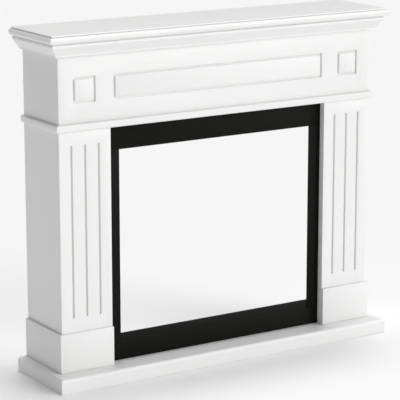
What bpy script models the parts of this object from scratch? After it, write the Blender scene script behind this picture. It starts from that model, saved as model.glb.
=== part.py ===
"""Electric fireplace surround: hearth, fluted pilasters, panelled frieze, mantel shelf and black inset.

Metres, +Z up. The origin is on the floor, at the middle of the footprint. The front faces -Y and the wall is
at +Y. Every length below is placed from the front face of the pilasters, which is y = 0 while the pieces are
made; the empty that carries them all moves that face to its place over the footprint.
"""

import math

import bmesh
import bpy
from mathutils import Matrix, Vector

# Whole surround
BODY_WIDTH = 1.006
BODY_DEPTH = 0.194
BOARD_THICKNESS = 0.020
JOINT_GAP = 0.0003

# Hearth slab
HEARTH_THICKNESS = 0.040
HEARTH_SIDE_OVERHANG = 0.033
HEARTH_FRONT_OVERHANG = 0.057
HEARTH_ARRIS_RADIUS = 0.009
HEARTH_ARRIS_SEGMENTS = 5

# Plinth facings at the foot of each leg
PLINTH_HEIGHT = 0.107
PLINTH_THICKNESS = 0.0075

# Pilasters and their flutes
PILASTER_WIDTH = 0.1555
PILASTER_HEIGHT = 0.6515
FLUTE_COUNT = 3
FLUTE_PITCH = 0.041
FLUTE_WIDTH = 0.0058
FLUTE_DEPTH = 0.005
FLUTE_FOOT_MARGIN = 0.147
FLUTE_TOP_MARGIN = 0.038

# Frieze and its grooved panels
FRIEZE_HEIGHT = 0.237
PANEL_SIZE = 0.0615
PANEL_CENTRE_RISE = 0.1075
PANEL_GROOVE_WIDTH = 0.006
PANEL_GROOVE_DEPTH = 0.005
LONG_PANEL_INSET = 0.0133

# Astragal along the foot of the frieze
ASTRAGAL_HEIGHT = 0.020
ASTRAGAL_PROJECTION = 0.0093
ASTRAGAL_ROUND_RADIUS = 0.005
ASTRAGAL_ROUND_SEGMENTS = 5

# Crown moulding under the shelf
CROWN_PROJECTION = 0.030
CROWN_FILLET_PROJECTION = 0.010
CROWN_FILLET_HEIGHT = 0.004
CROWN_FACE_ANGLE = math.radians(50.0)
CROWN_NOSE_RADIUS = 0.006
CROWN_NOSE_TURN = math.radians(110.0)
CROWN_NOSE_SEGMENTS = 7
CROWN_NECK_HEIGHT = 0.003

# Mantel shelf
SHELF_THICKNESS = 0.0215
SHELF_FILLET_OVERHANG = 0.0335
SHELF_ROLL_OVERHANG = 0.0362
SHELF_ROLL_HEIGHT = 0.0165
SHELF_ROLL_BULGE = 0.0038
SHELF_ROLL_SEGMENTS = 8
SHELF_QUIRK_HEIGHT = 0.002
SHELF_QUIRK_DEPTH = 0.003
SHELF_ARRIS_RADIUS = 0.002
SHELF_ARRIS_SEGMENTS = 3

# Black inset
INSET_THICKNESS = 0.004
INSET_HIDDEN_LAP = 0.030
OPENING_WIDTH = 0.621
OPENING_HEIGHT = 0.535
SILL_HEIGHT = 0.0497
SILL_THICKNESS = 0.018
SILL_DEPTH = 0.074

# Paints, with their colours in linear light
WHITE_PAINT = (0.83, 0.83, 0.82, 1.0)
WHITE_ROUGHNESS = 0.38
BLACK_PAINT = (0.0095, 0.0095, 0.010, 1.0)
BLACK_ROUGHNESS = 0.45

# Cutters reach this far out of the wood before it is cut
CUTTER_REACH = 0.002

# Levels worked out from the sizes above
HALF_BODY = BODY_WIDTH / 2
FRIEZE_FOOT = HEARTH_THICKNESS + PILASTER_HEIGHT
SHELF_UNDERSIDE = FRIEZE_FOOT + FRIEZE_HEIGHT
SILL_TOP = HEARTH_THICKNESS + SILL_HEIGHT
SHELF_OVERHANG = SHELF_ROLL_OVERHANG + SHELF_ROLL_BULGE
FOOTPRINT_MIDDLE = (BODY_DEPTH - HEARTH_FRONT_OVERHANG) / 2


def clear_scene():
    """Remove whatever the scene holds."""
    for item in list(bpy.data.objects):
        bpy.data.objects.remove(item, do_unlink=True)


def make_collection(name):
    """Return a new collection linked to the scene."""
    collection = bpy.data.collections.new(name)
    bpy.context.scene.collection.children.link(collection)
    return collection


def make_paint(name, colour, roughness):
    """Return a painted material."""
    paint = bpy.data.materials.new(name)
    paint.use_nodes = True
    paint.diffuse_color = colour
    shader = paint.node_tree.nodes["Principled BSDF"]
    shader.inputs["Base Color"].default_value = colour
    shader.inputs["Roughness"].default_value = roughness
    shader.inputs["Metallic"].default_value = 0.0
    return paint


clear_scene()
SURROUND = make_collection("fireplace_surround")
CUTTERS = make_collection("cutters")
CUTTERS.hide_render = True

CARRIER = bpy.data.objects.new("fireplace_surround", None)
CARRIER.location = (0.0, -FOOTPRINT_MIDDLE, 0.0)
SURROUND.objects.link(CARRIER)


def add_piece(name, mesh, place, paint, finish):
    """Add a piece to the surround at its place, with its own paint."""
    piece = bpy.data.objects.new(name, mesh)
    piece.location = place
    piece.parent = CARRIER
    SURROUND.objects.link(piece)
    mesh.materials.clear()
    mesh.materials.append(make_paint(name + "_paint", paint, finish))
    return piece


def mesh_from(bm, name):
    """Turn the edited shape into a mesh with its faces pointing outward."""
    bmesh.ops.recalc_face_normals(bm, faces=bm.faces[:])
    mesh = bpy.data.meshes.new(name)
    bm.to_mesh(mesh)
    bm.free()
    return mesh


def block(width, depth, height):
    """Return a box on the middle of its underside."""
    bm = bmesh.new()
    bmesh.ops.create_cube(bm, size=1.0)
    bmesh.ops.scale(bm, vec=(width, depth, height), verts=bm.verts[:])
    bmesh.ops.translate(bm, vec=(0.0, 0.0, height / 2), verts=bm.verts[:])
    return bm


def shear_off(bm, point, normal):
    """Saw away everything that the plane's normal points to, and close the sawn end."""
    cut = bmesh.ops.bisect_plane(
        bm,
        geom=bm.verts[:] + bm.edges[:] + bm.faces[:],
        dist=1e-6,
        plane_co=point,
        plane_no=normal,
        clear_outer=True,
    )
    rim = [item for item in cut["geom_cut"] if isinstance(item, bmesh.types.BMEdge)]
    bmesh.ops.holes_fill(bm, edges=rim, sides=0)


def mitre(bm, side, keep_front, corner_x, corner_y):
    """Saw the 45 degree corner that starts from the body's upright edge.

    side is -1 at the left corner and +1 at the right one. The front length keeps the part ahead of the saw
    and a return keeps the part outside it. Half the joint's gap comes off each of the two.
    """
    normal = Vector((side, 1.0, 0.0)).normalized()
    if not keep_front:
        normal.negate()
    point = Vector((corner_x, corner_y, 0.0)) - normal * (JOINT_GAP / 2)
    shear_off(bm, point, normal)


def profile_bm(name, outline, length):
    """Return a straight length of a moulding.

    outline holds (projection, height) pairs. The length runs along x about its middle, projects toward -y
    and stands in z.
    """
    curve = bpy.data.curves.new(name, "CURVE")
    curve.dimensions = "2D"
    curve.fill_mode = "BOTH"
    curve.extrude = length / 2
    spline = curve.splines.new("POLY")
    spline.points.add(len(outline) - 1)
    for point, (projection, height) in zip(spline.points, outline):
        point.co = (projection, height, 0.0, 1.0)
    spline.use_cyclic_u = True
    holder = bpy.data.objects.new(name + "_outline", curve)
    CUTTERS.objects.link(holder)
    bpy.context.view_layer.update()
    evaluated = holder.evaluated_get(bpy.context.evaluated_depsgraph_get())
    mesh = bpy.data.meshes.new_from_object(evaluated)
    bpy.data.objects.remove(holder, do_unlink=True)
    bpy.data.curves.remove(curve)
    bm = bmesh.new()
    bm.from_mesh(mesh)
    bpy.data.meshes.remove(mesh)
    bmesh.ops.remove_doubles(bm, verts=bm.verts[:], dist=1e-6)
    stand_up = Matrix(((0.0, 0.0, 1.0), (-1.0, 0.0, 0.0), (0.0, 1.0, 0.0))).to_4x4()
    bmesh.ops.transform(bm, matrix=stand_up, verts=bm.verts[:])
    return bm


def front_length(name, outline, level):
    """Add the moulding's length across the front, mitred at both corners."""
    reach = max(projection for projection, height in outline)
    bm = profile_bm(name, outline, BODY_WIDTH + 4 * reach)
    mitre(bm, -1, True, -HALF_BODY, 0.0)
    mitre(bm, 1, True, HALF_BODY, 0.0)
    return add_piece(name, mesh_from(bm, name), (0.0, 0.0, level), WHITE_PAINT, WHITE_ROUGHNESS)


def side_return(name, outline, side, level):
    """Add the moulding's return along one side, from its mitre back to the wall."""
    reach = max(projection for projection, height in outline)
    bm = profile_bm(name, outline, BODY_DEPTH + 2 * reach)
    quarter_turn = Matrix.Rotation(side * math.pi / 2, 3, "Z")
    bmesh.ops.rotate(bm, cent=(0.0, 0.0, 0.0), matrix=quarter_turn, verts=bm.verts[:])
    bmesh.ops.translate(bm, vec=(0.0, BODY_DEPTH / 2 - reach, 0.0), verts=bm.verts[:])
    mitre(bm, side, False, 0.0, 0.0)
    place = (side * HALF_BODY, 0.0, level)
    return add_piece(name, mesh_from(bm, name), place, WHITE_PAINT, WHITE_ROUGHNESS)


def run_round_body(name, outline, level):
    """Add a moulding across the front and back along both sides."""
    front_length(name + "_front", outline, level)
    side_return(name + "_return_left", outline, -1, level)
    side_return(name + "_return_right", outline, 1, level)


def board(name, low, high, paint, finish, mitred_sides=(), in_front=True):
    """Add a flat board between two corners, mitred to its neighbour at each named side of the body."""
    place = Vector(((low[0] + high[0]) / 2, (low[1] + high[1]) / 2, low[2]))
    bm = block(high[0] - low[0], high[1] - low[1], high[2] - low[2])
    for side in mitred_sides:
        mitre(bm, side, in_front, side * HALF_BODY - place.x, -place.y)
    return add_piece(name, mesh_from(bm, name), place, paint, finish)


def slab(name, width, depth, levels, front, level):
    """Add a board with a worked edge at its front and sides and a plain one at the wall.

    levels holds (inset, height) pairs from the underside up, where the inset is taken off the front and
    both sides.
    """
    bm = block(width, depth, levels[-1][1])
    underside = [vert for vert in bm.verts if vert.co.z < 1e-6]
    top = max(bm.faces, key=lambda face: face.calc_center_median().z)

    def shape(verts, inset, height):
        """Move four corners to where one level of the edge puts them."""
        for vert in verts:
            vert.co.x = math.copysign(width / 2 - inset, vert.co.x)
            vert.co.y = depth / 2 if vert.co.y > 0.0 else inset - depth / 2
            vert.co.z = height

    shape(underside, *levels[0])
    shape(top.verts, *levels[1])
    for inset, height in levels[2:]:
        bmesh.ops.inset_region(bm, faces=[top], thickness=CUTTER_REACH, use_even_offset=True)
        shape(top.verts, inset, height)
    place = (0.0, front + depth / 2, level)
    return add_piece(name, mesh_from(bm, name), place, WHITE_PAINT, WHITE_ROUGHNESS)


def cut_with(piece, cutter_bm, place):
    """Cut the shape out of the piece."""
    cutter = bpy.data.objects.new(piece.name + "_cutter", mesh_from(cutter_bm, piece.name + "_cutter"))
    cutter.location = place
    cutter.parent = CARRIER
    cutter.display_type = "WIRE"
    cutter.hide_render = True
    CUTTERS.objects.link(cutter)
    boolean = piece.modifiers.new("cut", "BOOLEAN")
    boolean.operation = "DIFFERENCE"
    boolean.solver = "EXACT"
    boolean.object = cutter


def flute_cutter(length):
    """Return a square cutter standing in z, from ahead of the board's face down to the flute's depth."""
    bm = block(FLUTE_WIDTH, FLUTE_DEPTH + CUTTER_REACH, length)
    bmesh.ops.translate(bm, vec=(0.0, (FLUTE_DEPTH - CUTTER_REACH) / 2, 0.0), verts=bm.verts[:])
    return bm


def panel_cutter(width, height):
    """Return a square cutter that runs round a rectangle whose middle line has the given width and height."""
    outer = (width + PANEL_GROOVE_WIDTH, height + PANEL_GROOVE_WIDTH, 1.0)
    bm = bmesh.new()
    bmesh.ops.create_grid(bm, x_segments=1, y_segments=1, size=0.5)
    bmesh.ops.scale(bm, vec=outer, verts=bm.verts[:])
    bmesh.ops.rotate(bm, cent=(0.0, 0.0, 0.0), matrix=Matrix.Rotation(math.pi / 2, 3, "X"), verts=bm.verts[:])
    bmesh.ops.translate(bm, vec=(0.0, -CUTTER_REACH, 0.0), verts=bm.verts[:])
    inner = bm.faces[:]
    bmesh.ops.inset_region(
        bm,
        faces=inner,
        thickness=PANEL_GROOVE_WIDTH,
        use_boundary=True,
        use_even_offset=True,
    )
    bmesh.ops.delete(bm, geom=inner, context="FACES_ONLY")
    deeper = bmesh.ops.extrude_face_region(bm, geom=bm.faces[:], use_keep_orig=True)
    moved = [item for item in deeper["geom"] if isinstance(item, bmesh.types.BMVert)]
    bmesh.ops.translate(bm, vec=(0.0, CUTTER_REACH + PANEL_GROOVE_DEPTH, 0.0), verts=moved)
    return bm


def arc(centre, radius, start, end, segments):
    """Return points along an arc as (across, up) pairs."""
    points = []
    for step in range(segments + 1):
        turn = start + (end - start) * step / segments
        points.append((centre[0] + radius * math.cos(turn), centre[1] + radius * math.sin(turn)))
    return points


def make_hearth():
    """Lay the hearth slab, with its front and side arrises rounded."""
    radius = HEARTH_ARRIS_RADIUS
    centre = (radius, HEARTH_THICKNESS - radius)
    levels = [(0.0, 0.0)] + arc(centre, radius, math.pi, math.pi / 2, HEARTH_ARRIS_SEGMENTS)
    width = BODY_WIDTH + 2 * HEARTH_SIDE_OVERHANG
    depth = BODY_DEPTH + HEARTH_FRONT_OVERHANG
    slab("hearth_slab", width, depth, levels, -HEARTH_FRONT_OVERHANG, 0.0)


def make_leg(side, hand):
    """Build one leg: its fluted pilaster, its side panel and the plinth facings round its foot."""
    foot = HEARTH_THICKNESS + JOINT_GAP
    edges = sorted((side * (HALF_BODY - PILASTER_WIDTH), side * HALF_BODY))
    pilaster = board(
        "pilaster_" + hand,
        (edges[0], 0.0, foot),
        (edges[1], BOARD_THICKNESS, FRIEZE_FOOT - JOINT_GAP),
        WHITE_PAINT,
        WHITE_ROUGHNESS,
        (side,),
        True,
    )
    middle = side * (HALF_BODY - PILASTER_WIDTH / 2)
    length = PILASTER_HEIGHT - FLUTE_FOOT_MARGIN - FLUTE_TOP_MARGIN
    for number in range(FLUTE_COUNT):
        offset = (number - (FLUTE_COUNT - 1) / 2) * FLUTE_PITCH
        place = (middle + offset, 0.0, HEARTH_THICKNESS + FLUTE_FOOT_MARGIN)
        cut_with(pilaster, flute_cutter(length), place)

    edges = sorted((side * (HALF_BODY - BOARD_THICKNESS), side * HALF_BODY))
    board(
        "side_panel_" + hand,
        (edges[0], 0.0, foot),
        (edges[1], BODY_DEPTH, SHELF_UNDERSIDE - JOINT_GAP),
        WHITE_PAINT,
        WHITE_ROUGHNESS,
        (side,),
        False,
    )

    plinth_top = HEARTH_THICKNESS + PLINTH_HEIGHT
    edges = sorted((side * (HALF_BODY - PILASTER_WIDTH), side * (HALF_BODY + PLINTH_THICKNESS)))
    board(
        "plinth_front_" + hand,
        (edges[0], -PLINTH_THICKNESS, foot),
        (edges[1], -JOINT_GAP, plinth_top),
        WHITE_PAINT,
        WHITE_ROUGHNESS,
        (side,),
        True,
    )
    edges = sorted((side * (HALF_BODY + JOINT_GAP), side * (HALF_BODY + PLINTH_THICKNESS)))
    board(
        "plinth_side_" + hand,
        (edges[0], -PLINTH_THICKNESS, foot),
        (edges[1], BODY_DEPTH, plinth_top),
        WHITE_PAINT,
        WHITE_ROUGHNESS,
        (side,),
        False,
    )


def make_frieze():
    """Build the frieze board, with a grooved square above each pilaster and a long panel between them."""
    frieze = board(
        "frieze_board",
        (-HALF_BODY, 0.0, FRIEZE_FOOT),
        (HALF_BODY, BOARD_THICKNESS, SHELF_UNDERSIDE - JOINT_GAP),
        WHITE_PAINT,
        WHITE_ROUGHNESS,
        (-1, 1),
        True,
    )
    rise = FRIEZE_FOOT + PANEL_CENTRE_RISE
    for side in (-1, 1):
        place = (side * (HALF_BODY - PILASTER_WIDTH / 2), 0.0, rise)
        cut_with(frieze, panel_cutter(PANEL_SIZE, PANEL_SIZE), place)
    long_width = BODY_WIDTH - 2 * (PILASTER_WIDTH + LONG_PANEL_INSET)
    cut_with(frieze, panel_cutter(long_width, PANEL_SIZE), (0.0, 0.0, rise))


def make_astragal():
    """Run the bead along the foot of the frieze: a flat face between two rounded edges."""
    radius = ASTRAGAL_ROUND_RADIUS
    inward = ASTRAGAL_PROJECTION - radius
    outline = [(JOINT_GAP, 0.0)]
    outline.extend(arc((inward, radius), radius, -math.pi / 2, 0.0, ASTRAGAL_ROUND_SEGMENTS))
    upper_centre = (inward, ASTRAGAL_HEIGHT - radius)
    outline.extend(arc(upper_centre, radius, 0.0, math.pi / 2, ASTRAGAL_ROUND_SEGMENTS))
    outline.append((JOINT_GAP, ASTRAGAL_HEIGHT))
    run_round_body("astragal", outline, FRIEZE_FOOT)


def make_crown():
    """Run the crown moulding under the shelf: fillet, straight incline, rounded nose and neck."""
    lean = math.pi / 2 - CROWN_FACE_ANGLE
    nose_start = CROWN_PROJECTION - CROWN_NOSE_RADIUS * (1.0 - math.cos(lean))
    incline_rise = (nose_start - CROWN_FILLET_PROJECTION) * math.tan(CROWN_FACE_ANGLE)
    nose_level = CROWN_FILLET_HEIGHT + incline_rise + CROWN_NOSE_RADIUS * math.sin(lean)
    outline = [(JOINT_GAP, 0.0), (CROWN_FILLET_PROJECTION, 0.0)]
    outline.append((CROWN_FILLET_PROJECTION, CROWN_FILLET_HEIGHT))
    centre = (CROWN_PROJECTION - CROWN_NOSE_RADIUS, nose_level)
    outline.extend(arc(centre, CROWN_NOSE_RADIUS, -lean, CROWN_NOSE_TURN - lean, CROWN_NOSE_SEGMENTS))
    neck, neck_foot = outline[-1]
    top = neck_foot + CROWN_NECK_HEIGHT
    outline.append((neck, top))
    outline.append((JOINT_GAP, top))
    run_round_body("crown_moulding", outline, SHELF_UNDERSIDE - JOINT_GAP - top)


def make_shelf():
    """Lay the mantel shelf: a roll, a quirk and a fillet with a softened top arris, on three edges."""
    half_roll = SHELF_ROLL_HEIGHT / 2
    radius = (half_roll ** 2 + SHELF_ROLL_BULGE ** 2) / (2 * SHELF_ROLL_BULGE)
    swing = math.asin(half_roll / radius)
    centre = (radius, half_roll)
    levels = arc(centre, radius, math.pi + swing, math.pi - swing, SHELF_ROLL_SEGMENTS)
    fillet = SHELF_OVERHANG - SHELF_FILLET_OVERHANG
    quirk = fillet + SHELF_QUIRK_DEPTH
    levels.append((quirk, SHELF_ROLL_HEIGHT))
    levels.append((quirk, SHELF_ROLL_HEIGHT + SHELF_QUIRK_HEIGHT))
    levels.append((fillet, SHELF_ROLL_HEIGHT + SHELF_QUIRK_HEIGHT))
    centre = (fillet + SHELF_ARRIS_RADIUS, SHELF_THICKNESS - SHELF_ARRIS_RADIUS)
    levels.extend(arc(centre, SHELF_ARRIS_RADIUS, math.pi, math.pi / 2, SHELF_ARRIS_SEGMENTS))
    width = BODY_WIDTH + 2 * SHELF_OVERHANG
    slab("mantel_shelf", width, BODY_DEPTH + SHELF_OVERHANG, levels, -SHELF_OVERHANG, SHELF_UNDERSIDE)


def make_inset():
    """Build the black frame round the opening, the sill behind its bottom rail and the rail under its back."""
    front = BOARD_THICKNESS + JOINT_GAP
    back = front + INSET_THICKNESS
    foot = HEARTH_THICKNESS + JOINT_GAP
    outer = HALF_BODY - PILASTER_WIDTH + INSET_HIDDEN_LAP
    inner = OPENING_WIDTH / 2
    opening_top = SILL_TOP + OPENING_HEIGHT
    rail_top = FRIEZE_FOOT + INSET_HIDDEN_LAP
    sill_front = back + JOINT_GAP
    sill_back = sill_front + SILL_DEPTH
    sill_underside = SILL_TOP - SILL_THICKNESS
    black = (BLACK_PAINT, BLACK_ROUGHNESS)
    board("inset_top_rail", (-outer, front, opening_top), (outer, back, rail_top), *black)
    stile_foot = SILL_TOP + JOINT_GAP
    stile_top = opening_top - JOINT_GAP
    board("inset_stile_left", (-outer, front, stile_foot), (-inner, back, stile_top), *black)
    board("inset_stile_right", (inner, front, stile_foot), (outer, back, stile_top), *black)
    board("inset_bottom_rail", (-outer, front, foot), (outer, back, SILL_TOP), *black)
    board("sill_board", (-outer, sill_front, sill_underside), (outer, sill_back, SILL_TOP), *black)
    rear_front = sill_back - SILL_THICKNESS
    rear_top = sill_underside - JOINT_GAP
    board("sill_rear_rail", (-outer, rear_front, foot), (outer, sill_back, rear_top), *black)


make_hearth()
make_leg(-1, "left")
make_leg(1, "right")
make_frieze()
make_astragal()
make_crown()
make_shelf()
make_inset()
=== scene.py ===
"""Looks of the white fireplace surround: boards, mouldings, black inset, paints, lights and camera."""

import logging
import math
from dataclasses import dataclass, field
from enum import Enum
from typing import Callable, List, Sequence, Tuple

import bpy
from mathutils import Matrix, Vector


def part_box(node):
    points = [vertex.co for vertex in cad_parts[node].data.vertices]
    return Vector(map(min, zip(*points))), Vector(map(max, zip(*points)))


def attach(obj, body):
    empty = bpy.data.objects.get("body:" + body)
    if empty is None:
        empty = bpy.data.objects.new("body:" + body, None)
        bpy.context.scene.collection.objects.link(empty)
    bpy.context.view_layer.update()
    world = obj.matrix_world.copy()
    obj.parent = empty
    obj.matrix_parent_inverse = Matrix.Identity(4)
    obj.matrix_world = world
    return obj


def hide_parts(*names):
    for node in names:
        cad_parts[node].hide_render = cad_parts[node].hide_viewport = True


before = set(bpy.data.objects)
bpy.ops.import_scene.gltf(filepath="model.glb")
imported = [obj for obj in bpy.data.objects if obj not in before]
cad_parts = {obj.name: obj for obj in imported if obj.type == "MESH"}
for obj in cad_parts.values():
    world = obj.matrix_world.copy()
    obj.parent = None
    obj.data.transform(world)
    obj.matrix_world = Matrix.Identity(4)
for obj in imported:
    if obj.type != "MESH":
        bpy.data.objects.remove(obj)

LOG = logging.getLogger("surround")
BODY = "root"
MERGE_DISTANCE = 0.00001
TOLERANCE = 1e-6
SHARP_FROM = math.radians(30.0)
SMOOTH_BELOW = math.radians(25.0)
Point = Tuple[float, float]
Corner = Tuple[float, float, float]
Colour = Tuple[float, float, float, float]


class Side(Enum):
    """A side of the surround as seen from the room."""

    LEFT = -1
    RIGHT = 1

    @property
    def word(self) -> str:
        """Return the side's word in the node names."""
        return self.name.lower()


class Keep(Enum):
    """Which part of a mitred board stays after the saw."""

    FRONT = 1
    RETURN = -1


class Bench:
    """The modelling steps that every piece is made with."""

    @staticmethod
    def activate(piece: bpy.types.Object) -> None:
        """Make one piece the only selected one and the active one.

        Args:
            piece: The piece to work on.
        """
        bpy.ops.object.select_all(action="DESELECT")
        piece.select_set(True)
        bpy.context.view_layer.objects.active = piece

    @staticmethod
    def settle(piece: bpy.types.Object) -> None:
        """Write the piece's place, turn and size into its mesh."""
        Bench.activate(piece)
        bpy.ops.object.transform_apply(location=True, rotation=True, scale=True)

    @staticmethod
    def corners(node: str) -> Tuple[Vector, Vector]:
        """Return the lowest and the highest corner of a CAD node."""
        low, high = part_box(node)
        return Vector(low), Vector(high)

    @staticmethod
    def block(name: str, low: Vector, high: Vector) -> bpy.types.Object:
        """Add a cube stretched between two corners.

        Args:
            name: The piece's name.
            low: The lowest corner.
            high: The highest corner.

        Returns:
            The block, with its place in its mesh.
        """
        bpy.ops.object.select_all(action="DESELECT")
        bpy.ops.mesh.primitive_cube_add(size=1.0, location=(low + high) / 2)
        piece = bpy.context.active_object
        piece.name = name
        piece.data.name = name
        piece.scale = high - low
        Bench.settle(piece)
        return piece

    @staticmethod
    def pick(piece: bpy.types.Object, kind: str, test: Callable[[List[Vector]], bool]) -> None:
        """Go into edit mode with the edges or faces selected that pass a test.

        Args:
            piece: The piece to work on.
            kind: EDGE or FACE.
            test: Told the corners of an edge or a face, says whether it is selected.
        """
        Bench.activate(piece)
        bpy.ops.object.mode_set(mode="EDIT")
        bpy.ops.mesh.select_mode(type=kind)
        bpy.ops.mesh.select_all(action="DESELECT")
        bpy.ops.object.mode_set(mode="OBJECT")
        corners = piece.data.vertices
        for item in piece.data.edges if kind == "EDGE" else piece.data.polygons:
            item.select = test([corners[number].co for number in item.vertices])
        bpy.ops.object.mode_set(mode="EDIT")

    @staticmethod
    def close_up() -> None:
        """Turn every face outward and leave edit mode."""
        bpy.ops.mesh.select_all(action="SELECT")
        bpy.ops.mesh.normals_make_consistent(inside=False)
        bpy.ops.object.mode_set(mode="OBJECT")

    @staticmethod
    def apply(piece: bpy.types.Object, modifier: bpy.types.Modifier) -> None:
        """Apply a modifier to the piece."""
        Bench.activate(piece)
        bpy.ops.object.modifier_apply(modifier=modifier.name)

    @staticmethod
    def cut(piece: bpy.types.Object, cutter: bpy.types.Object) -> None:
        """Cut a shape out of the piece and throw the cutter away.

        Args:
            piece: The piece to cut.
            cutter: The shape to cut out of it.
        """
        boolean = piece.modifiers.new("groove", "BOOLEAN")
        boolean.operation = "DIFFERENCE"
        boolean.solver = "EXACT"
        boolean.object = cutter
        Bench.apply(piece, boolean)
        bpy.data.objects.remove(cutter, do_unlink=True)

    @staticmethod
    def ease(piece: bpy.types.Object, width: float, segments: int) -> None:
        """Round every sharp arris of the piece.

        Args:
            piece: The piece to work on.
            width: How far the rounding reaches from the arris.
            segments: Facets across the rounding.
        """
        bevel = piece.modifiers.new("eased_arrises", "BEVEL")
        bevel.width = width
        bevel.segments = segments
        bevel.limit_method = "ANGLE"
        bevel.angle_limit = SHARP_FROM
        Bench.apply(piece, bevel)

    @staticmethod
    def saw(piece: bpy.types.Object, point: Vector, normal: Vector, fill: bool) -> None:
        """Saw away the part of the piece that the plane's normal points to.

        Args:
            piece: The piece to work on.
            point: A point of the saw's plane.
            normal: The plane's normal, toward the waste.
            fill: True to close the sawn end.
        """
        Bench.activate(piece)
        bpy.ops.object.mode_set(mode="EDIT")
        bpy.ops.mesh.select_all(action="SELECT")
        bpy.ops.mesh.bisect(
            plane_co=point,
            plane_no=normal,
            use_fill=fill,
            clear_outer=True,
            threshold=TOLERANCE,
        )
        bpy.ops.object.mode_set(mode="OBJECT")

    @staticmethod
    def mitre(piece: bpy.types.Object, side: Side, keep: Keep, edge: Vector, fill: bool) -> None:
        """Saw a 45 degree mitre at an upright edge of the body.

        Args:
            piece: The piece to work on.
            side: The side of the body that the edge is on.
            keep: Whether the piece is the front length or the return.
            edge: A point of the body's upright edge.
            fill: True to close the sawn end.
        """
        normal = Vector((side.value, 1.0, 0.0)).normalized() * keep.value
        Bench.saw(piece, edge, normal, fill)

    @staticmethod
    def join(pieces: Sequence[bpy.types.Object], name: str) -> bpy.types.Object:
        """Join lengths that meet into one closed piece.

        Args:
            pieces: The lengths, open where they meet.
            name: The joined piece's name.

        Returns:
            The joined piece.
        """
        Bench.activate(pieces[0])
        for piece in pieces:
            piece.select_set(True)
        bpy.ops.object.join()
        joined = bpy.context.active_object
        joined.name = name
        joined.data.name = name
        bpy.ops.object.mode_set(mode="EDIT")
        bpy.ops.mesh.select_all(action="SELECT")
        bpy.ops.mesh.remove_doubles(threshold=MERGE_DISTANCE)
        Bench.close_up()
        return joined

    @staticmethod
    def finish(
        piece: bpy.types.Object,
        material: bpy.types.Material,
        slot: str,
        nodes: Sequence[str],
    ) -> None:
        """Paint the piece, smooth its roundings and tie it to the frame.

        Args:
            piece: The finished piece.
            material: Its paint.
            slot: Not used.
            nodes: The CAD nodes that the piece stands for.
        """
        Bench.activate(piece)
        bpy.ops.object.shade_smooth_by_angle(angle=SMOOTH_BELOW)
        piece.data.materials.clear()
        piece.data.materials.append(material)
        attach(piece, BODY)
        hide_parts(*nodes)
        LOG.info("%s: %d faces, stands for %s", piece.name, len(piece.data.polygons), ", ".join(nodes))


class Outline:
    """Steps for drawing a moulding's outline as (projection, height) points."""

    STRAIGHT_FROM = math.radians(150.0)
    EASING_SHARES = (0.0, 1 / 3, 2 / 3, 1.0)

    @staticmethod
    def arc(centre: Point, radius: float, start: float, end: float, segments: int) -> List[Point]:
        """Return points along an arc.

        Args:
            centre: The arc's centre.
            radius: Its radius.
            start: Where it starts, in radians.
            end: Where it ends, in radians.
            segments: How many facets it has.

        Returns:
            The arc's points, both ends included.
        """
        points = []
        for step in range(segments + 1):
            turn = start + (end - start) * step / segments
            points.append((centre[0] + radius * math.cos(turn), centre[1] + radius * math.sin(turn)))
        return points

    @classmethod
    def eased(cls, points: Sequence[Point], radius: float) -> List[Point]:
        """Round the sharp corners of a closed outline, as sanding and paint do.

        Args:
            points: The outline.
            radius: How far a rounding reaches along the two sides of a corner.

        Returns:
            The outline with each sharp corner replaced by a short curve.
        """
        eased = []
        for number, point in enumerate(points):
            here = Vector(point)
            before = Vector(points[number - 1]) - here
            after = Vector(points[(number + 1) % len(points)]) - here
            if before.angle(after, 0.0) > cls.STRAIGHT_FROM:
                eased.append(point)
                continue
            reach = min(radius, before.length / 3, after.length / 3)
            first = here + before.normalized() * reach
            last = here + after.normalized() * reach
            for share in cls.EASING_SHARES:
                curve = first.lerp(here, share).lerp(here.lerp(last, share), share)
                eased.append((curve.x, curve.y))
        return eased


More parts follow.
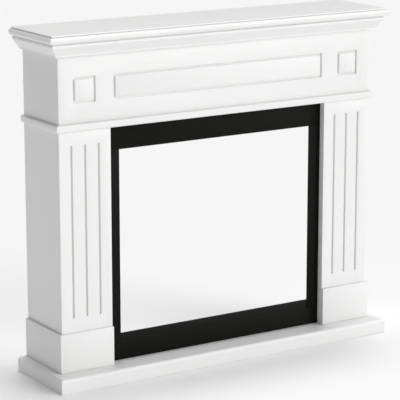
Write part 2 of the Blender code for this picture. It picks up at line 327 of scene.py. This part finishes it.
class PaintTexture:
    """The node group behind both paints: spray texture, mottling and uneven sheen."""

    NAME = "sprayed_paint"
    INPUTS = (
        ("Vector", "NodeSocketVector"),
        ("Light Coat", "NodeSocketColor"),
        ("Thin Coat", "NodeSocketColor"),
        ("Sheen", "NodeSocketFloat"),
        ("Peel Scale", "NodeSocketFloat"),
    )
    OUTPUTS = (
        ("Color", "NodeSocketColor"),
        ("Roughness", "NodeSocketFloat"),
        ("Height", "NodeSocketFloat"),
    )
    MOTTLE_SCALE = 5.0
    PATCH_SCALE = 28.0
    SHEEN_SPREAD = 0.05
    FIBRE_SCALE = 90.0
    FIBRE_SHARE = 0.6

    @staticmethod
    def noise(tree: bpy.types.NodeTree, vector: bpy.types.NodeSocket, detail: float) -> bpy.types.Node:
        """Add a noise texture.

        Args:
            tree: The node group.
            vector: The coordinates that it follows.
            detail: How many finer layers it has.

        Returns:
            The noise node.
        """
        noise = tree.nodes.new("ShaderNodeTexNoise")
        noise.inputs["Detail"].default_value = detail
        tree.links.new(vector, noise.inputs["Vector"])
        return noise

    @classmethod
    def group(cls) -> bpy.types.NodeTree:
        """Return the node group, made on its first use.

        Returns:
            The group, whose outputs are Color, Roughness and Height.
        """
        made = bpy.data.node_groups.get(cls.NAME)
        if made:
            return made
        tree = bpy.data.node_groups.new(cls.NAME, "ShaderNodeTree")
        for name, kind in cls.INPUTS:
            tree.interface.new_socket(name, in_out="INPUT", socket_type=kind)
        for name, kind in cls.OUTPUTS:
            tree.interface.new_socket(name, in_out="OUTPUT", socket_type=kind)
        nodes = tree.nodes
        links = tree.links
        given = nodes.new("NodeGroupInput")
        wanted = nodes.new("NodeGroupOutput")
        vector = given.outputs["Vector"]

        mottle = cls.noise(tree, vector, 3.0)
        mottle.inputs["Scale"].default_value = cls.MOTTLE_SCALE
        coat = nodes.new("ShaderNodeMix")
        coat.data_type = "RGBA"
        links.new(mottle.outputs["Fac"], coat.inputs["Factor"])
        links.new(given.outputs["Light Coat"], coat.inputs["A"])
        links.new(given.outputs["Thin Coat"], coat.inputs["B"])
        links.new(coat.outputs["Result"], wanted.inputs["Color"])

        patches = cls.noise(tree, vector, 2.0)
        patches.inputs["Scale"].default_value = cls.PATCH_SCALE
        spread = nodes.new("ShaderNodeMapRange")
        spread.inputs["To Min"].default_value = -cls.SHEEN_SPREAD
        spread.inputs["To Max"].default_value = cls.SHEEN_SPREAD
        links.new(patches.outputs["Fac"], spread.inputs["Value"])
        sheen = nodes.new("ShaderNodeMath")
        sheen.operation = "ADD"
        links.new(given.outputs["Sheen"], sheen.inputs[0])
        links.new(spread.outputs["Result"], sheen.inputs[1])
        links.new(sheen.outputs["Value"], wanted.inputs["Roughness"])

        peel = cls.noise(tree, vector, 2.0)
        links.new(given.outputs["Peel Scale"], peel.inputs["Scale"])
        fibres = cls.noise(tree, vector, 4.0)
        fibres.inputs["Scale"].default_value = cls.FIBRE_SCALE
        height = nodes.new("ShaderNodeMath")
        height.operation = "MULTIPLY_ADD"
        height.inputs[1].default_value = cls.FIBRE_SHARE
        links.new(fibres.outputs["Fac"], height.inputs[0])
        links.new(peel.outputs["Fac"], height.inputs[2])
        links.new(height.outputs["Value"], wanted.inputs["Height"])
        return tree


@dataclass(frozen=True)
class SatinPaint:
    """A sprayed satin paint over MDF."""

    name: str
    light_coat: Colour
    thin_coat: Colour
    sheen: float
    peel_scale: float
    peel_depth: float
    reflection: float
    peel_strength: float = 0.35

    def material(self) -> bpy.types.Material:
        """Return the paint's material, made on its first use.

        Returns:
            The material.
        """
        made = bpy.data.materials.get(self.name)
        if made:
            return made
        paint = bpy.data.materials.new(self.name)
        paint.use_nodes = True
        nodes = paint.node_tree.nodes
        links = paint.node_tree.links
        shader = nodes["Principled BSDF"]
        shader.inputs["Specular IOR Level"].default_value = self.reflection
        place = nodes.new("ShaderNodeTexCoord")
        texture = nodes.new("ShaderNodeGroup")
        texture.node_tree = PaintTexture.group()
        texture.inputs["Light Coat"].default_value = self.light_coat
        texture.inputs["Thin Coat"].default_value = self.thin_coat
        texture.inputs["Sheen"].default_value = self.sheen
        texture.inputs["Peel Scale"].default_value = self.peel_scale
        links.new(place.outputs["Object"], texture.inputs["Vector"])
        links.new(texture.outputs["Color"], shader.inputs["Base Color"])
        links.new(texture.outputs["Roughness"], shader.inputs["Roughness"])
        bump = nodes.new("ShaderNodeBump")
        bump.inputs["Strength"].default_value = self.peel_strength
        bump.inputs["Distance"].default_value = self.peel_depth
        links.new(texture.outputs["Height"], bump.inputs["Height"])
        links.new(bump.outputs["Normal"], shader.inputs["Normal"])
        return paint


WHITE = SatinPaint(
    name="white_satin",
    light_coat=(0.81, 0.81, 0.805, 1.0),
    thin_coat=(0.785, 0.785, 0.78, 1.0),
    sheen=0.40,
    peel_scale=420.0,
    peel_depth=0.0002,
    reflection=0.4,
)
BLACK = SatinPaint(
    name="black_satin",
    light_coat=(0.0048, 0.0048, 0.0040, 1.0),
    thin_coat=(0.0060, 0.0060, 0.0050, 1.0),
    sheen=0.50,
    peel_scale=380.0,
    peel_depth=0.0002,
    reflection=0.07,
)


@dataclass
class Carcass:
    """The flat boards: fluted pilasters, side panels, plinth facings and the frieze."""

    arris: float = 0.0011
    arris_segments: int = 3
    flute_count: int = 3
    flute_pitch: float = 0.041
    flute_width: float = 0.0058
    flute_depth: float = 0.005
    flute_foot: float = 0.147
    flute_top: float = 0.038
    panel_size: float = 0.0615
    panel_rise: float = 0.1075
    long_panel_inset: float = 0.0133
    groove_width: float = 0.006
    groove_depth: float = 0.005
    reach: float = 0.002
    front: float = field(init=False)
    half_width: float = field(init=False)

    def __post_init__(self) -> None:
        """Read the body's front plane and half width off the frame."""
        self.front = Bench.corners("pilaster_left")[0].y
        self.half_width = Bench.corners("side_panel_right")[1].x

    def edge(self, side: Side) -> Vector:
        """Return the foot of the body's upright front edge on one side."""
        return Vector((side.value * self.half_width, self.front, 0.0))

    def flute_cutter(self, middle: float, foot: float, top: float) -> bpy.types.Object:
        """Model a square cutter.

        Args:
            middle: The flute's middle, along x.
            foot: The flute's lower end.
            top: Its upper end.

        Returns:
            The cutter, from ahead of the board's face down to the flute's depth.
        """
        half = self.flute_width / 2
        low = Vector((middle - half, self.front - self.reach, foot))
        high = Vector((middle + half, self.front + self.flute_depth, top))
        return Bench.block("flute_cutter", low, high)

    def panel_cutter(self, centre: Vector, width: float, height: float) -> bpy.types.Object:
        """Model a square cutter that runs round a rectangle.

        Args:
            centre: The rectangle's centre on the board's face.
            width: The width to the groove's middle line.
            height: The height to the groove's middle line.

        Returns:
            The cutter.
        """
        mouth = Vector((centre.x, self.front - self.reach, centre.z))
        bpy.ops.object.select_all(action="DESELECT")
        bpy.ops.mesh.primitive_plane_add(size=1.0, location=mouth, rotation=(math.pi / 2, 0.0, 0.0))
        cutter = bpy.context.active_object
        cutter.scale = (width + self.groove_width, height + self.groove_width, 1.0)
        Bench.settle(cutter)
        Bench.pick(cutter, "FACE", lambda corners: True)
        bpy.ops.mesh.inset(thickness=self.groove_width, use_boundary=True, use_even_offset=True)
        bpy.ops.mesh.delete(type="ONLY_FACE")
        bpy.ops.mesh.select_all(action="SELECT")
        deeper = (0.0, self.reach + self.groove_depth, 0.0)
        bpy.ops.mesh.extrude_region_move(TRANSFORM_OT_translate={"value": deeper})
        Bench.close_up()
        return cutter

    def complete(self, piece: bpy.types.Object, node: str, sides: Sequence[Side], keep: Keep) -> None:
        """Ease a board's arrises, saw its mitres and paint it.

        Args:
            piece: The board, with its grooves cut.
            node: The CAD node that it stands for.
            sides: The sides of the body where the board is mitred.
            keep: Whether the board is a front one or a return.
        """
        Bench.ease(piece, self.arris, self.arris_segments)
        for side in sides:
            Bench.mitre(piece, side, keep, self.edge(side), True)
        Bench.finish(piece, WHITE.material(), "white_paint", [node])

    def board(
        self,
        node: str,
        sides: Sequence[Side],
        keep: Keep,
        cutters: Sequence[bpy.types.Object],
    ) -> None:
        """Model a board that fills its CAD node's place, with eased arrises.

        Args:
            node: The CAD node.
            sides: The sides of the body where the board is mitred.
            keep: Whether the board is a front one or a return.
            cutters: What is cut out of it.
        """
        low, high = Bench.corners(node)
        for side in sides:
            if keep is Keep.FRONT:
                low.x = -self.half_width if side is Side.LEFT else low.x
                high.x = self.half_width if side is Side.RIGHT else high.x
            else:
                low.y = min(low.y, self.front)
        piece = Bench.block(node + "_board", low, high)
        for cutter in cutters:
            Bench.cut(piece, cutter)
        self.complete(piece, node, sides, keep)

    def plinth(self, side: Side) -> None:
        """Model the two plinth facings of one leg, mitred at the outer corner.

        Args:
            side: The leg's side of the surround.
        """
        front = Bench.corners("plinth_front_" + side.word)[0].y
        outermost = Bench.corners("plinth_side_" + side.word)
        for part, keep in (("front", Keep.FRONT), ("side", Keep.RETURN)):
            node = "plinth_%s_%s" % (part, side.word)
            low, high = Bench.corners(node)
            low.y = front
            if side is Side.LEFT:
                low.x = outermost[0].x
            else:
                high.x = outermost[1].x
            piece = Bench.block(node + "_facing", low, high)
            self.complete(piece, node, [side], keep)

    def build(self) -> None:
        """Build both legs and the frieze."""
        for side in Side:
            low, high = Bench.corners("pilaster_" + side.word)
            outer = side.value * self.half_width
            inner = high.x if side is Side.LEFT else low.x
            middle = (outer + inner) / 2
            foot = Bench.corners("hearth_slab")[1].z + self.flute_foot
            top = Bench.corners("frieze_board")[0].z - self.flute_top
            cutters = []
            for number in range(self.flute_count):
                offset = (number - (self.flute_count - 1) / 2) * self.flute_pitch
                cutters.append(self.flute_cutter(middle + offset, foot, top))
            self.board("pilaster_" + side.word, [side], Keep.FRONT, cutters)
            self.board("side_panel_" + side.word, [side], Keep.RETURN, [])
            self.plinth(side)

        level = Bench.corners("frieze_board")[0].z + self.panel_rise
        inner = Bench.corners("pilaster_right")[0].x
        square = (inner + self.half_width) / 2
        long_width = 2 * (inner - self.long_panel_inset)
        cutters = [self.panel_cutter(Vector((0.0, 0.0, level)), long_width, self.panel_size)]
        for side in Side:
            centre = Vector((side.value * square, 0.0, level))
            cutters.append(self.panel_cutter(centre, self.panel_size, self.panel_size))
        self.board("frieze_board", list(Side), Keep.FRONT, cutters)


@dataclass
class Moulding:
    """A moulding that runs across the front and returns along both sides to the wall."""

    node: str
    carcass: Carcass
    backing: float = 0.0003

    def outline(self) -> List[Point]:
        """Return the moulding's outline, as (projection, height) points from its foot."""
        raise NotImplementedError

    def length(self, heading: float, start: float, end: float, level: float) -> bpy.types.Object:
        """Extrude the outline into a straight length.

        Args:
            heading: Where the length projects to, as a turn about z from the front.
            start: Where the length starts along its run.
            end: Where it ends.
            level: The height of its foot.

        Returns:
            The length, made as if the body's face were the plane y = 0 and then turned by heading.
        """
        points = self.outline()
        bpy.ops.object.select_all(action="DESELECT")
        bpy.ops.mesh.primitive_circle_add(vertices=len(points), fill_type="NGON", location=(0.0, 0.0, 0.0))
        piece = bpy.context.active_object
        for vertex, (projection, height) in zip(piece.data.vertices, points):
            vertex.co = Vector((start, -projection, level + height))
        Bench.pick(piece, "FACE", lambda corners: True)
        bpy.ops.mesh.extrude_region_move(TRANSFORM_OT_translate={"value": (end - start, 0.0, 0.0)})
        Bench.close_up()
        piece.rotation_euler = (0.0, 0.0, heading)
        Bench.settle(piece)
        return piece

    def build(self) -> None:
        """Run the moulding round the body as one piece."""
        low = Bench.corners(self.node + "_front")[0]
        half = self.carcass.half_width
        front = self.carcass.front
        wall = Bench.corners("side_panel_left")[1].y
        beyond = 2 * (front - low.y)
        middle = self.length(0.0, -half - beyond, half + beyond, low.z)
        self.move(middle, Vector((0.0, front, 0.0)))
        for side in Side:
            Bench.mitre(middle, side, Keep.FRONT, self.carcass.edge(side), False)
        lengths = [middle]
        for side in Side:
            ends = sorted((side.value * wall, side.value * (front - beyond)))
            piece = self.length(side.value * math.pi / 2, ends[0], ends[1], low.z)
            self.move(piece, Vector((side.value * half, 0.0, 0.0)))
            Bench.mitre(piece, side, Keep.RETURN, self.carcass.edge(side), False)
            lengths.append(piece)
        joined = Bench.join(lengths, self.node + "_run")
        nodes = [self.node + ending for ending in ("_front", "_return_left", "_return_right")]
        Bench.finish(joined, WHITE.material(), "white_paint", nodes)

    @staticmethod
    def move(piece: bpy.types.Object, by: Vector) -> None:
        """Move the piece and keep its origin where it was."""
        piece.location = by
        Bench.settle(piece)


@dataclass
class Astragal(Moulding):
    """The bead along the foot of the frieze: a flat face between two rounded edges."""

    radius: float = 0.005
    segments: int = 12

    def outline(self) -> List[Point]:
        """Draw the bead, as high and as proud as its place.

        Returns:
            The bead's outline from its underside up.
        """
        low, high = Bench.corners(self.node + "_front")
        height = high.z - low.z
        inward = self.carcass.front - low.y - self.radius
        upper_centre = (inward, height - self.radius)
        points = [(self.backing, 0.0)]
        points.extend(Outline.arc((inward, self.radius), self.radius, -math.pi / 2, 0.0, self.segments))
        points.extend(Outline.arc(upper_centre, self.radius, 0.0, math.pi / 2, self.segments))
        points.append((self.backing, height))
        return points


@dataclass
class Crown(Moulding):
    """The crown moulding: fillet, straight incline, rounded nose and neck."""

    projection: float = 0.030
    fillet_projection: float = 0.010
    fillet_height: float = 0.004
    face_angle: float = math.radians(50.0)
    nose_radius: float = 0.006
    nose_turn: float = math.radians(110.0)
    nose_segments: int = 20
    neck_height: float = 0.003
    ease: float = 0.0005

    def outline(self) -> List[Point]:
        """Draw the crown moulding.

        Returns:
            The moulding's outline from its underside up.
        """
        lean = math.pi / 2 - self.face_angle
        nose_start = self.projection - self.nose_radius * (1.0 - math.cos(lean))
        rise = (nose_start - self.fillet_projection) * math.tan(self.face_angle)
        nose_level = self.fillet_height + rise + self.nose_radius * math.sin(lean)
        points = [
            (self.backing, 0.0),
            (self.fillet_projection, 0.0),
            (self.fillet_projection, self.fillet_height),
        ]
        centre = (self.projection - self.nose_radius, nose_level)
        points.extend(Outline.arc(centre, self.nose_radius, -lean, self.nose_turn - lean, self.nose_segments))
        neck, neck_foot = points[-1]
        top = neck_foot + self.neck_height
        points.extend([(neck, top), (self.backing, top)])
        return Outline.eased(points, self.ease)


@dataclass
class Slab:
    """A board with a worked edge on its front and both sides and a plain one at the wall."""

    node: str

    def levels(self) -> List[Point]:
        """Return (inset, height) points from the underside to the top."""
        raise NotImplementedError

    def build(self) -> None:
        """Raise the slab level by level, drawing each in from the front and both sides."""
        low, high = Bench.corners(self.node)
        levels = self.levels()
        first_inset, first_height = levels[0]
        top = low.z + levels[1][1]
        block_low = Vector((low.x + first_inset, low.y + first_inset, low.z))
        block_high = Vector((high.x - first_inset, high.y, top))
        piece = Bench.block(self.node + "_worked", block_low, block_high)
        Bench.pick(piece, "FACE", lambda corners: all(abs(c.z - top) < TOLERANCE for c in corners))
        half = (high.x - low.x) / 2
        depth = high.y - low.y
        before = first_inset
        for number, (inset, height) in enumerate(levels[1:]):
            if number:
                rise = low.z + height - top
                bpy.ops.mesh.extrude_region_move(TRANSFORM_OT_translate={"value": (0.0, 0.0, rise)})
                top = low.z + height
            across = (half - inset) / (half - before)
            deep = (depth - inset) / (depth - before)
            bpy.ops.transform.resize(value=(across, deep, 1.0), center_override=(0.0, high.y, top))
            before = inset
        Bench.close_up()
        Bench.finish(piece, WHITE.material(), "white_paint", [self.node])


@dataclass
class HearthSlab(Slab):
    """The hearth slab, with its upper arrises rounded over."""

    node: str = "hearth_slab"
    radius: float = 0.009
    segments: int = 12
    foot_ease: float = 0.0008

    def levels(self) -> List[Point]:
        """Draw the slab's edge: an eased foot and a rounded upper arris.

        Returns:
            The edge's (inset, height) points from the underside up.
        """
        low, high = Bench.corners(self.node)
        centre = (self.radius, high.z - low.z - self.radius)
        levels = [(self.foot_ease, 0.0), (0.0, self.foot_ease)]
        levels.extend(Outline.arc(centre, self.radius, math.pi, math.pi / 2, self.segments))
        return levels


@dataclass
class MantelShelf(Slab):
    """The mantel shelf: a roll, a quirk and a fillet with a softened top arris."""

    node: str = "mantel_shelf"
    fillet_overhang: float = 0.0335
    overhang: float = 0.040
    roll_height: float = 0.0165
    roll_bulge: float = 0.0038
    roll_segments: int = 18
    quirk_height: float = 0.002
    quirk_depth: float = 0.003
    arris_radius: float = 0.002
    arris_segments: int = 6

    def levels(self) -> List[Point]:
        """Draw the shelf's edge: roll, quirk, fillet and top arris.

        Returns:
            The edge's (inset, height) points from the underside up.
        """
        low, high = Bench.corners(self.node)
        half_roll = self.roll_height / 2
        radius = (half_roll**2 + self.roll_bulge**2) / (2 * self.roll_bulge)
        swing = math.asin(half_roll / radius)
        centre = (radius, half_roll)
        levels = Outline.arc(centre, radius, math.pi + swing, math.pi - swing, self.roll_segments)
        fillet = self.overhang - self.fillet_overhang
        quirk = fillet + self.quirk_depth
        levels.append((quirk, self.roll_height))
        levels.append((quirk, self.roll_height + self.quirk_height))
        levels.append((fillet, self.roll_height + self.quirk_height))
        centre = (fillet + self.arris_radius, high.z - low.z - self.arris_radius)
        levels.extend(Outline.arc(centre, self.arris_radius, math.pi, math.pi / 2, self.arris_segments))
        return levels


@dataclass
class Inset:
    """The black boards round the opening and the sill behind their bottom rail."""

    rail_arris: float = 0.0006
    sill_arris: float = 0.0012
    segments: int = 3

    def build(self) -> None:
        """Model each black board in its CAD node's place."""
        rails = ("inset_top_rail", "inset_stile_left", "inset_stile_right", "inset_bottom_rail")
        for node in rails:
            self.board(node, self.rail_arris)
        for node in ("sill_board", "sill_rear_rail"):
            self.board(node, self.sill_arris)

    def board(self, node: str, arris: float) -> None:
        """Model one black board.

        Args:
            node: The CAD node.
            arris: How far its arrises are rounded.
        """
        low, high = Bench.corners(node)
        piece = Bench.block(node + "_board", low, high)
        Bench.ease(piece, arris, self.segments)
        Bench.finish(piece, BLACK.material(), "black_paint", [node])


@dataclass(frozen=True)
class SoftLight:
    """A far, soft light, with all its angles in degrees.

    Its azimuth runs from the front toward the right, and its softness is how wide it looks from the surround.
    """

    name: str
    azimuth: float
    elevation: float
    softness: float
    strength: float
    distance: float = 6.0

    def hang(self) -> None:
        """Hang the light, turned toward the surround."""
        light = bpy.data.lights.new(self.name, "SUN")
        light.angle = math.radians(self.softness)
        light.energy = self.strength
        holder = bpy.data.objects.new(self.name, light)
        turn = math.radians(self.azimuth)
        lift = math.radians(self.elevation)
        across = math.cos(lift)
        toward = Vector((math.sin(turn) * across, -math.cos(turn) * across, math.sin(lift)))
        holder.location = toward * self.distance
        holder.rotation_euler = (-toward).to_track_quat("-Z", "Y").to_euler()
        bpy.context.scene.collection.objects.link(holder)


@dataclass
class Studio:
    """A pale floor, soft lights and the camera at the photograph's angle."""

    camera_place: Corner = (-2.822, -4.384, 1.634)
    camera_azimuth: float = math.radians(32.54)
    camera_pitch: float = math.radians(12.91)
    camera_lens: float = 172.8
    camera_sensor: float = 36.0
    camera_reach: float = 100.0
    floor_size: float = 60.0
    floor_colour: Colour = (0.84, 0.84, 0.84, 1.0)
    floor_roughness: float = 0.9
    floor_reflection: float = 0.1
    backdrop_colour: Colour = (0.97, 0.97, 0.97, 1.0)
    sky_colour: Colour = (1.0, 1.0, 1.0, 1.0)
    sky_strength: float = 0.25
    lights: Tuple[SoftLight, ...] = (
        SoftLight("front_softbox", azimuth=40.0, elevation=18.0, softness=50.0, strength=2.22),
        SoftLight("rear_overhead", azimuth=138.0, elevation=80.0, softness=26.0, strength=1.98),
        SoftLight("left_fill", azimuth=-70.0, elevation=6.0, softness=40.0, strength=0.30),
    )

    def floor(self) -> None:
        """Lay the floor."""
        bpy.ops.object.select_all(action="DESELECT")
        bpy.ops.mesh.primitive_plane_add(size=self.floor_size, location=(0.0, 0.0, 0.0))
        floor = bpy.context.active_object
        floor.name = "floor"
        finish = bpy.data.materials.new("pale_floor")
        finish.use_nodes = True
        shader = finish.node_tree.nodes["Principled BSDF"]
        shader.inputs["Base Color"].default_value = self.floor_colour
        shader.inputs["Roughness"].default_value = self.floor_roughness
        shader.inputs["Specular IOR Level"].default_value = self.floor_reflection
        floor.data.materials.append(finish)

    def sky(self) -> None:
        """Fill the room with even light and hang a pale backdrop that only the camera sees."""
        world = bpy.data.worlds.new("studio")
        world.use_nodes = True
        nodes = world.node_tree.nodes
        links = world.node_tree.links
        background = nodes["Background"]
        background.inputs["Color"].default_value = self.sky_colour
        background.inputs["Strength"].default_value = self.sky_strength
        backdrop = nodes.new("ShaderNodeBackground")
        backdrop.inputs["Color"].default_value = self.backdrop_colour
        seen = nodes.new("ShaderNodeLightPath")
        chosen = nodes.new("ShaderNodeMixShader")
        links.new(seen.outputs["Is Camera Ray"], chosen.inputs["Fac"])
        links.new(background.outputs["Background"], chosen.inputs[1])
        links.new(backdrop.outputs["Background"], chosen.inputs[2])
        links.new(chosen.outputs["Shader"], nodes["World Output"].inputs["Surface"])
        bpy.context.scene.world = world

    def camera(self) -> None:
        """Set up the camera where the photograph was taken from."""
        lens = bpy.data.cameras.new("camera")
        lens.sensor_width = self.camera_sensor
        lens.lens = self.camera_lens
        lens.clip_end = self.camera_reach
        holder = bpy.data.objects.new("camera", lens)
        holder.location = self.camera_place
        holder.rotation_euler = (math.pi / 2 - self.camera_pitch, 0.0, -self.camera_azimuth)
        bpy.context.scene.collection.objects.link(holder)
        bpy.context.scene.camera = holder

    def build(self) -> None:
        """Set the whole studio up."""
        self.camera()
        self.floor()
        self.sky()
        for light in self.lights:
            light.hang()
        bpy.context.scene.view_settings.view_transform = "Standard"


def main() -> None:
    """Build the surround and its studio."""
    logging.basicConfig(level=logging.INFO, format="%(name)s %(message)s")
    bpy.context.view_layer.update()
    Studio().build()
    carcass = Carcass()
    carcass.build()
    HearthSlab().build()
    Astragal("astragal", carcass).build()
    Crown("crown_moulding", carcass).build()
    MantelShelf().build()
    Inset().build()


if __name__ == "__main__":
    main()
